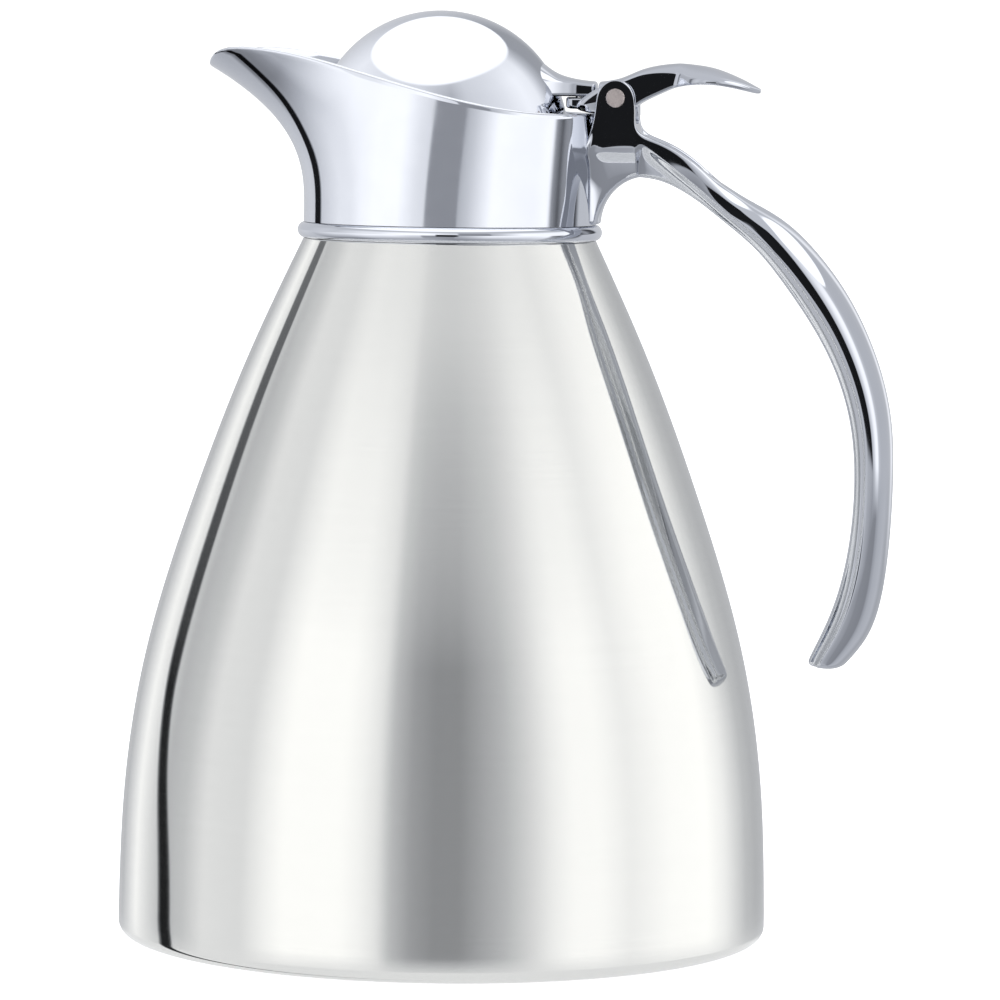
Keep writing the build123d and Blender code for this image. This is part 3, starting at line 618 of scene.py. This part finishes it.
def grip_ring(station, size=1.0, step=(0, 0)):
    """One ring of the grip: crowned outer face, flat sides and a narrower inner face."""
    half, low_edge, high_edge, square, depth = station[4:]
    low = Vector(station[0:2])
    high = Vector(station[2:4])
    middle = (low + high) / 2 + Vector(step)
    way = (high - low) * size
    low = middle - way / 2
    square = min(max(square, 0), 1)
    depth = max(depth, 0) / way.length
    crown = [(0.975, 0.60), (0.91, 0.69), (0.82, 0.77), (0.66, 0.86), (0.50, 0.92), (0.36, 0.955),
             (0.20, 0.985), (0, 1)]
    wide = CHANNEL_HALF / half
    rails = [(1.0, 0.93), (0.97, 0.985), (0.90, 1.0), (wide + 0.05, 1.0), (wide, 0.98),
             (wide, 1 - depth * 0.8), (wide - 0.08, 1 - depth), (0, 1 - depth)]
    top = [(u * (1 - square) + s * square, v * (1 - square) + t * square)
           for (u, v), (s, t) in zip(crown, rails)]
    section = [(0, 0), (0.40, 0), (0.56, 0.04), (0.62, low_edge * 0.38), (0.76, low_edge * 0.72),
               (0.95, low_edge - 0.03), (1, low_edge + 0.02), (1, (low_edge + high_edge) / 2),
               (1, high_edge)] + top
    return both_sides([(spot.x, u * half * size, spot.y)
                       for u, spot in [(u, low + way * v) for u, v in section]])


def make_handle():
    """Root, ears and C-shaped grip as one casting."""
    rings = [root_ring(top, start) for top, start in ROOT_RINGS]
    stations = spline(GRIP_STATIONS, GRIP_RINGS)
    rings += [grip_ring(station) for station in stations]
    before, last = stations[-2], stations[-1]
    ahead = Vector(last[0:2] + last[2:4] - before[0:2] - before[2:4]).normalized()
    rings += [grip_ring(last, size, ahead * step) for size, step in END_ROUNDING]
    return together([skin("handle_casting", rings, levels=2), make_fairing(-1), make_fairing(1)])


# Fairing in front of each ear, tapering down to the rim: x, low z, high z, half thickness
FAIRING_RINGS = [(27.6, 179.6, 180.4, 0.25), (28.0, 179.1, 181.0, 0.75), (29.2, 178.7, 182.1, 1.15),
                 (30.8, 178.4, 183.2, 1.35), (32.4, 178.2, 184.2, 1.4), (34.0, 178.2, 185.0, 1.4)]
FAIRING_Y = 6.9


def make_fairing(side):
    """The small rounded nose that leads from the rim up to one ear."""
    rings = []
    for x, low, high, thick in FAIRING_RINGS:
        middle, half = (low + high) / 2, (high - low) / 2
        rings.append([(x, side * FAIRING_Y + thick * cos(a), middle + half * sin(a))
                      for a in np.linspace(0, 2 * pi, 12, endpoint=False)])
    return skin("ear_fairing", rings, levels=2)


# ---------------------------------------------------------------- lid and thumb lever
DOME_X = -2.2
DOME_R = 27.5
DOME_Z = 172.5
DOME_WALL = 1.2
SKIRT_Z = 168.4
# Tongue from dome to lever: x, top z, half width, and how far the top's sides fall
TONGUE_RINGS = [(12, 192.0, 9.0, 3.0), (17, 191.3, 10.5, 4.4), (19.5, 189.3, 9.6, 3.6),
                (21.5, 187.7, 7.6, 2.6), (23.5, 186.6, 6.2, 1.6), (26, 185.9, 5.3, 1.0),
                (28.5, 185.5, 5.0, 0.8), (30.8, 185.3, 5.0, 0.8), (31.4, 185.3, 5.0, 0.8)]
TONGUE_Z = 182
# Lever: bottom x z, top x z, half width, and how far the top's sides fall
LEVER_RINGS = [(31.95, 179.6, 31.95, 185.2, 4.9, 0.8), (32.3, 179.2, 32.3, 185.3, 5.0, 0.8),
               (33.6, 178.4, 33.6, 185.4, 5.0, 0.8), (36.0, 177.8, 36.4, 185.9, 5.0, 0.8),
               (38.0, 178.4, 39.0, 187.1, 5.0, 0.9), (39.6, 179.8, 41.5, 188.2, 5.0, 1.1),
               (41.6, 181.2, 44.0, 188.8, 5.0, 1.4), (44.2, 182.4, 46.5, 189.2, 5.0, 1.7),
               (47.4, 183.9, 48.8, 189.4, 5.0, 2.0), (48.1, 184.1, 49.4, 189.4, 5.0, 2.1),
               (48.9, 184.3, 50.0, 189.4, 5.3, 2.5), (50.4, 184.6, 51.4, 189.3, 6.6, 3.1),
               (52.4, 184.8, 53.4, 189.1, 8.1, 3.2), (54.8, 184.9, 56.0, 188.7, 8.9, 2.9),
               (57.4, 184.8, 58.6, 187.9, 8.9, 2.3), (60.0, 184.4, 61.0, 186.9, 8.2, 1.7),
               (62.4, 183.9, 63.2, 185.9, 6.8, 1.2), (64.4, 183.4, 65.0, 184.9, 4.9, 0.9),
               (65.7, 183.1, 66.2, 184.3, 3.0, 0.7), (66.4, 183.1, 66.7, 183.9, 1.4, 0.4)]
TAB = (25.0, 32.0, 179.3, 181.9)


def bar_ring(low_x, low_z, top_x, top_z, half, fall, round_low=0.5):
    """A bar's section: flat sides, a rounded lower edge and a crowned top."""
    low = Vector((low_x, low_z))
    way = Vector((top_x, top_z)) - low
    height = way.length
    rows = [(0, 0), (half * 0.6, 0), (half - round_low, 0), (half - round_low * 0.2, round_low * 0.25),
            (half, round_low), (half, (height - fall) / 2), (half, height - fall - 0.25),
            (half * 0.985, height - fall * 0.93), (half * 0.90, height - fall * 0.68),
            (half * 0.68, height - fall * 0.34), (half * 0.36, height - fall * 0.09), (0, height)]
    places = [(low + way * (rise / height), y) for y, rise in rows]
    return both_sides([(spot.x, y, spot.y) for spot, y in places])


def make_lid():
    """The domed lid shell."""
    inner_r = DOME_R - DOME_WALL
    profile = arc((0, DOME_Z), DOME_R, 90, 0, 49)
    profile += [(DOME_R, SKIRT_Z + 0.4), (DOME_R - 0.12, SKIRT_Z + 0.12), (DOME_R - 0.4, SKIRT_Z),
                (inner_r, SKIRT_Z)]
    profile += arc((0, DOME_Z), inner_r, 0, 90, 33)
    return turned("lid_shell", profile, steps=144, axis_x=DOME_X)


def make_tongue():
    """The tongue that reaches back from the dome to the lever."""
    rings = [bar_ring(x, TONGUE_Z, x, top, half, fall) for x, top, half, fall in TONGUE_RINGS]
    return skin("lid_tongue", rings, levels=2)


def make_lever():
    """The thumb lever: a knuckle with no bore for the pin, a flat-sided neck and a leaf-shaped pad."""
    lever = skin("thumb_lever_casting", [bar_ring(*ring) for ring in LEVER_RINGS], levels=2)
    start, end, low, high = TAB
    tab_rings = [bar_ring(x, low + lift, x, high, half, 0.3, 0.4)
                 for x, lift, half in [(start, 0.7, 3.9), (start + 0.3, 0.25, 4.5),
                                       (start + 1.0, 0, 4.9), (end, 0, 4.9), (end + 1, 0, 4.9)]]
    tab = skin("lever_tab", tab_rings, levels=2)
    return together([lever, tab])


# ---------------------------------------------------------------- finishes
def new_finish(name):
    """A material with a Principled shader; returns material, tree, shader and Object coordinates."""
    finish_made = bpy.data.materials.new(name)
    finish_made.use_nodes = True
    tree = finish_made.node_tree
    tree.nodes.clear()
    shader = node(tree, "ShaderNodeBsdfPrincipled")
    node(tree, "ShaderNodeOutputMaterial", {0: shader.outputs[0]})
    place = node(tree, "ShaderNodeTexCoord").outputs["Object"]
    return finish_made, tree, shader, place


def roughness_range(tree, shader, pattern, low, high):
    """Let a pattern carry the roughness between two values."""
    spread = node(tree, "ShaderNodeMapRange", {0: pattern, 1: 0.3, 2: 0.7, 3: low, 4: high})
    tree.links.new(spread.outputs[0], shader.inputs["Roughness"])


def bump(tree, shader, pattern, depth):
    """Let a pattern dent the surface by up to a depth in millimetres."""
    dent = node(tree, "ShaderNodeBump", {"Height": pattern, "Distance": depth * MM, "Strength": 1.0})
    tree.links.new(dent.outputs[0], shader.inputs["Normal"])


def mixed_colour(tree, shader, pattern, dark, light):
    """Let a pattern carry the colour between two hex colours."""
    mix = node(tree, "ShaderNodeMix", {0: pattern, 6: srgb(dark), 7: srgb(light)}, data_type="RGBA")
    tree.links.new(mix.outputs[2], shader.inputs["Base Color"])


def polished_steel():
    """Spun stainless sheet, belt-polished to a mirror: faint rings round the pot from the lathe."""
    made, tree, shader, place = new_finish("polished_stainless_sheet")
    shader.inputs["Metallic"].default_value = 1
    # Polishing rings about 0.4 mm apart, broken up slowly round the wall
    rings = node(tree, "ShaderNodeMapping", {0: place, "Scale": (30, 30, 2500)}).outputs[0]
    lines = node(tree, "ShaderNodeTexNoise", {"Vector": rings, "Scale": 1.0, "Detail": 3.0}).outputs[0]
    # Hand marks and wipe traces, 20 to 40 mm across
    smear = node(tree, "ShaderNodeTexNoise", {"Vector": place, "Scale": 35.0, "Detail": 4.0}).outputs[0]
    both = node(tree, "ShaderNodeMath", {0: lines, 1: smear}, operation="ADD").outputs[0]
    half = node(tree, "ShaderNodeMath", {0: both, 1: 0.5}, operation="MULTIPLY").outputs[0]
    roughness_range(tree, shader, half, 0.03, 0.07)
    mixed_colour(tree, shader, lines, "DDDDDA", "E1E1DE")
    bump(tree, shader, lines, 0.00012)
    return made


def chrome_plate():
    """Bright chrome over a buffed zinc casting: cool, mirror-like, with the faintest buffing haze."""
    made, tree, shader, place = new_finish("bright_chrome_plate")
    shader.inputs["Metallic"].default_value = 1
    # Buffing haze about 6 mm across, and hairlines near 0.3 mm
    haze = node(tree, "ShaderNodeTexNoise", {"Vector": place, "Scale": 160.0, "Detail": 5.0}).outputs[0]
    hair = node(tree, "ShaderNodeMapping", {0: place, "Rotation": (0.5, 0.9, 0.2),
                                            "Scale": (3000, 160, 160)}).outputs[0]
    hair = node(tree, "ShaderNodeTexNoise", {"Vector": hair, "Scale": 1.0, "Detail": 2.0}).outputs[0]
    roughness_range(tree, shader, haze, 0.02, 0.05)
    mixed_colour(tree, shader, haze, "D8DBE3", "DFE2E9")
    bump(tree, shader, hair, 0.0003)
    return made


def satin_steel():
    """Plain stainless sheet as rolled: soft sheen with fine lines one way."""
    made, tree, shader, place = new_finish("satin_stainless_sheet")
    shader.inputs["Metallic"].default_value = 1
    grain = node(tree, "ShaderNodeMapping", {0: place, "Scale": (90, 4000, 90)}).outputs[0]
    lines = node(tree, "ShaderNodeTexNoise", {"Vector": grain, "Scale": 1.0, "Detail": 4.0}).outputs[0]
    roughness_range(tree, shader, lines, 0.22, 0.36)
    mixed_colour(tree, shader, lines, "BDBAB5", "D2D0CC")
    bump(tree, shader, lines, 0.002)
    return made


def turned_pin():
    """Cut end of the steel pin: rings from the lathe tool round its own centre, slightly warm."""
    made, tree, shader, place = new_finish("turned_pin_steel")
    shader.inputs["Metallic"].default_value = 1
    low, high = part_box("hinge_pin")
    centre = [-(a + b) / 2 for a, b in zip(low, high)]
    about = node(tree, "ShaderNodeMapping", {0: place, "Location": (centre[0], 0, centre[2]),
                                             "Scale": (1, 0, 1)}).outputs[0]
    away = node(tree, "ShaderNodeVectorMath", {0: about}, operation="LENGTH").outputs["Value"]
    # Tool rings 0.25 mm apart
    turns = node(tree, "ShaderNodeMath", {0: away, 1: 2 * pi / (0.25 * MM)}, operation="MULTIPLY")
    rings = node(tree, "ShaderNodeMath", {0: turns.outputs[0]}, operation="SINE").outputs[0]
    grain = node(tree, "ShaderNodeTexNoise", {"Vector": place, "Scale": 2500.0, "Detail": 3.0}).outputs[0]
    roughness_range(tree, shader, grain, 0.34, 0.50)
    mixed_colour(tree, shader, grain, "A89E9C", "CFC6C3")
    bump(tree, shader, rings, 0.004)
    return made


def wire_steel():
    """Bright drawn wire and headed screws: smooth stainless with faint drawing marks."""
    made, tree, shader, place = new_finish("drawn_stainless_wire")
    shader.inputs["Metallic"].default_value = 1
    marks = node(tree, "ShaderNodeTexNoise", {"Vector": place, "Scale": 1500.0, "Detail": 4.0}).outputs[0]
    roughness_range(tree, shader, marks, 0.18, 0.32)
    mixed_colour(tree, shader, marks, "B4B4B4", "CACACA")
    bump(tree, shader, marks, 0.002)
    return made


def dull_brass():
    """Brazed brass, gone dull and blotchy from the furnace."""
    made, tree, shader, place = new_finish("brazed_brass")
    shader.inputs["Metallic"].default_value = 1
    blotch = node(tree, "ShaderNodeTexNoise", {"Vector": place, "Scale": 400.0, "Detail": 6.0}).outputs[0]
    roughness_range(tree, shader, blotch, 0.38, 0.60)
    mixed_colour(tree, shader, blotch, "9A7B3E", "C9A85C")
    bump(tree, shader, blotch, 0.02)
    return made


def pad_rubber():
    """Moulded black rubber foot: matt, with a fine leathery grain from the mould."""
    made, tree, shader, place = new_finish("moulded_rubber")
    grain = node(tree, "ShaderNodeTexVoronoi", {"Vector": place, "Scale": 1400.0}).outputs["Distance"]
    roughness_range(tree, shader, grain, 0.70, 0.85)
    mixed_colour(tree, shader, grain, "1E1E20", "2B2B2E")
    bump(tree, shader, grain, 0.05)
    return made


def pale_silicone():
    """Pressed silicone seal: translucent white with a satin skin."""
    made, tree, shader, place = new_finish("pressed_silicone")
    shader.inputs["Subsurface Weight"].default_value = 0.2
    shader.inputs["Subsurface Scale"].default_value = 0.6 * MM
    cloud = node(tree, "ShaderNodeTexNoise", {"Vector": place, "Scale": 700.0, "Detail": 3.0}).outputs[0]
    roughness_range(tree, shader, cloud, 0.35, 0.50)
    mixed_colour(tree, shader, cloud, "D6D8D8", "E6E8E8")
    bump(tree, shader, cloud, 0.01)
    return made


def black_plastic():
    """Injection-moulded polypropylene, black, spark-eroded texture about 0.4 mm across."""
    made, tree, shader, place = new_finish("moulded_polypropylene")
    spark = node(tree, "ShaderNodeTexNoise", {"Vector": place, "Scale": 2400.0, "Detail": 4.0}).outputs[0]
    roughness_range(tree, shader, spark, 0.38, 0.55)
    mixed_colour(tree, shader, spark, "1B1B1D", "29292C")
    bump(tree, shader, spark, 0.02)
    return made


def natural_nylon():
    """Stamped nylon washers: milky, slightly waxy."""
    made, tree, shader, place = new_finish("natural_nylon")
    wax = node(tree, "ShaderNodeTexNoise", {"Vector": place, "Scale": 1200.0, "Detail": 3.0}).outputs[0]
    roughness_range(tree, shader, wax, 0.35, 0.50)
    mixed_colour(tree, shader, wax, "DDDACF", "EBE8DE")
    bump(tree, shader, wax, 0.006)
    return made


def rigid_foam():
    """Poured polyurethane foam inside the lid: open cells near a millimetre across."""
    made, tree, shader, place = new_finish("poured_foam")
    cells = node(tree, "ShaderNodeTexVoronoi", {"Vector": place, "Scale": 1100.0}).outputs["Distance"]
    roughness_range(tree, shader, cells, 0.85, 0.95)
    mixed_colour(tree, shader, cells, "CDBF8F", "E9DFBB")
    bump(tree, shader, cells, 0.3)
    return made


FINISHES = {"polished_steel": polished_steel(), "plain_steel": satin_steel(),
            "chrome_plate": chrome_plate(), "pin_steel": turned_pin(), "screw_steel": wire_steel(),
            "seal_brass": dull_brass(), "pad_rubber": pad_rubber(), "silicone": pale_silicone(),
            "insert_plastic": black_plastic(), "washer_nylon": natural_nylon(), "foam": rigid_foam()}


# ---------------------------------------------------------------- assembly
def fit(piece, body, node_name, slot):
    """Put a finished piece on its body, in place of its plain node where it has one."""
    piece.data.materials.clear()
    piece.data.materials.append(FINISHES[slot])
    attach(piece, body)
    if node_name:
        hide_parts(node_name)
    return piece


flask = fit(make_flask(), "pot", "outer_shell", "polished_steel")
bead = fit(make_bead(), "pot", "neck_ring", "chrome_plate")
head = fit(make_head(), "pot", "spout_head", "chrome_plate")
handle = fit(make_handle(), "pot", "handle", "chrome_plate")
lid = fit(make_lid(), "lid", "lid_dome", "chrome_plate")
tongue = fit(make_tongue(), "lid", None, "chrome_plate")
lever = fit(make_lever(), "lid", "thumb_lever", "chrome_plate")

for subpart in frame["record"]["subparts"]:
    kept = frame["nodes"][subpart["node"]]
    if not kept.hide_render:
        kept.material_slots[0].material = FINISHES[subpart["material_slot"]]

plain_pieces = [kept for kept in frame["nodes"].values() if not kept.hide_render]
reflector("flask", 0, [flask] + plain_pieces)
reflector("head", 1, [head])
reflector("lid", 2, [lid])
reflector("grip", 3, [handle])
reflector("lever", 4, [tongue, lever])
reflector("bead", 5, [bead])
